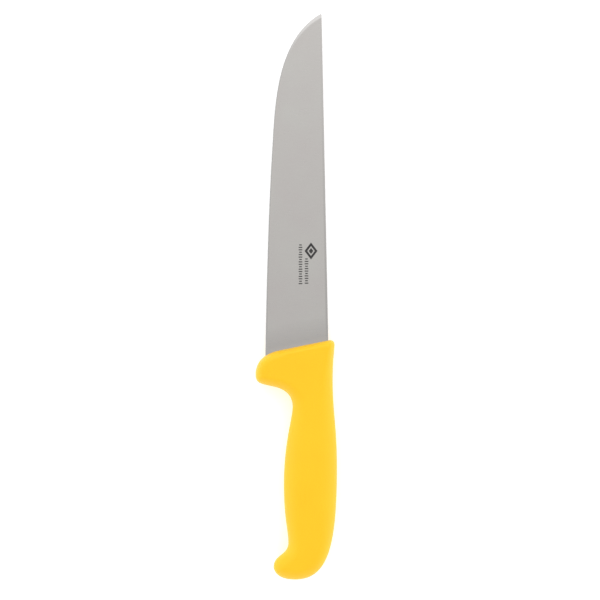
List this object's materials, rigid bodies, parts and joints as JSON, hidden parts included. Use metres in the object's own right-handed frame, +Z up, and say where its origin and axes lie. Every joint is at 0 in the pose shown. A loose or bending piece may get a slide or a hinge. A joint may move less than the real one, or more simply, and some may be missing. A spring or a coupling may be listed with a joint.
{
  "type": "butcher's knife",
  "caption": "Broad straight-spined butcher's knife with an upswept edge and a one-piece moulded plastic handle with a finger guard and a hooked butt.",
  "frame": {"origin": "under the middle of the whole knife, level with the lowest point of the handle's palm swell", "axes": "+X from the cutting edge to the spine, +Y from the butt of the handle to the tip of the blade, +Z up out of the blade's marked side; the knife is on its side, with the middle plane of the blade level and 10 mm up (put down, it leans 1.1 degrees, on its palm swell and the front of its collar)"},
  "size_m": [0.0488, 0.3394, 0.02],
  "materials": {
    "blade_steel": "stainless knife steel, satin ground across the blade with very fine scratches, and a narrow sharpened bevel",
    "handle_plastic": "bright yellow polypropylene, semi-matt with a fine moulded grain",
    "blade_mark": null
  },
  "bodies": {
    "root": {"blade": "blade_steel", "handle": "handle_plastic"}
  },
  "joints": []
}
